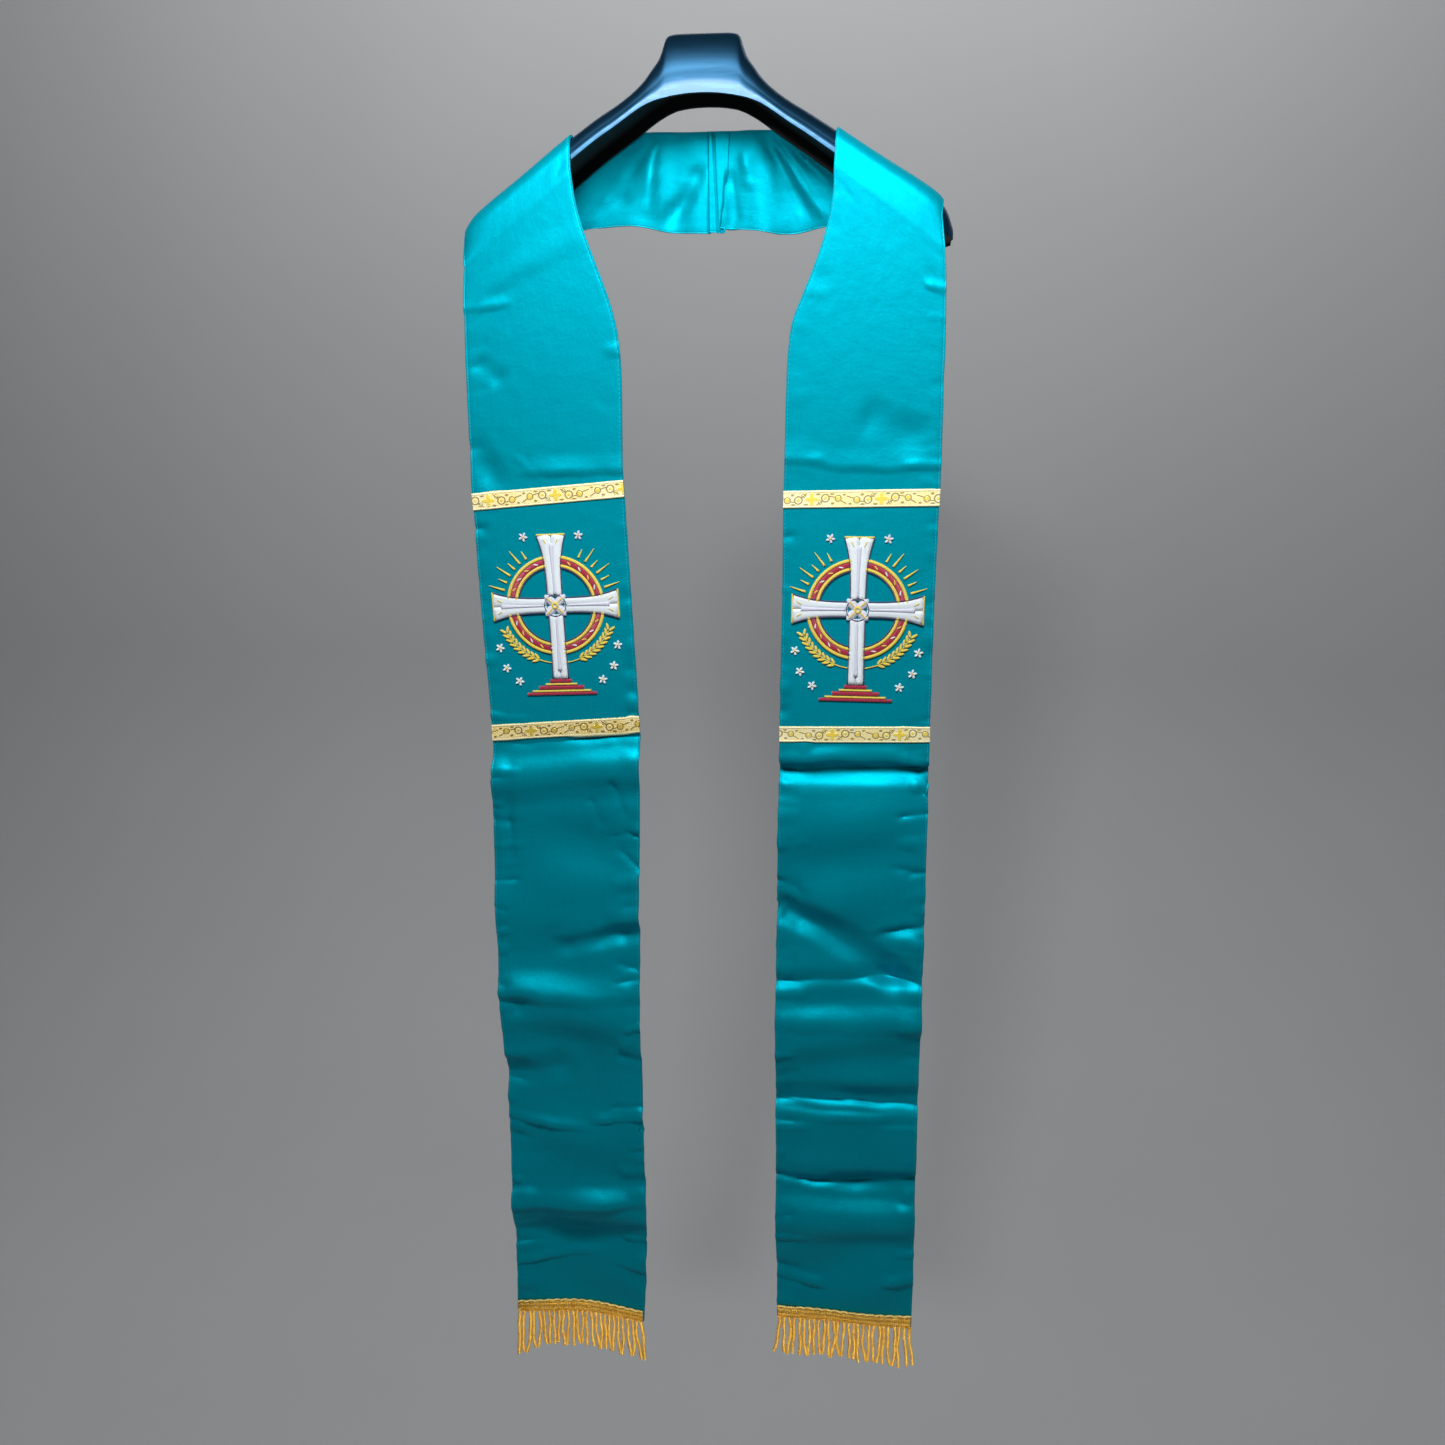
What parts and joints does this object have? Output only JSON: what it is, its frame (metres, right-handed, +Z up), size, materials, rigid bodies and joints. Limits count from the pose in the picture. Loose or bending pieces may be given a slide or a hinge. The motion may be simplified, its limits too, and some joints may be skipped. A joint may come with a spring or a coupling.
{
  "type": "clerical stole on a hanger",
  "caption": "Long lined satin stole with gold trims, raised embroidery and fringed hems, hung by its centre back over a broad moulded hanger.",
  "frame": {"origin": "middle of the flat top of the hanger's neck, where the stem of a hook goes in", "axes": "+X to the viewer's right, +Y to the back of the neck, +Z up; the bands hang in front, at -Y"},
  "size_m": [0.3994, 0.0805, 1.2058],
  "materials": {
    "cloth": "teal polyester satin, soft sheen",
    "lining": "teal satin lining, soft sheen",
    "trim": "pale gold woven metallic brocade",
    "emblem": "satin-stitch embroidery",
    "fringe": "twisted gold bullion thread",
    "hanger": "glossy black moulded plastic"
  },
  "bodies": {
    "root": {"hanger": "hanger", "stole_face_left": "cloth", "stole_face_right": "cloth", "stole_shoulder_left": "cloth", "stole_shoulder_right": "cloth", "stole_lining_left": "lining", "stole_lining_right": "lining", "centre_back_lap": "lining", "trim_left_upper": "trim", "trim_left_lower": "trim", "trim_right_upper": "trim", "trim_right_lower": "trim", "emblem_left": "emblem", "emblem_right": "emblem", "fringe_left": "fringe", "fringe_right": "fringe"}
  },
  "joints": []
}
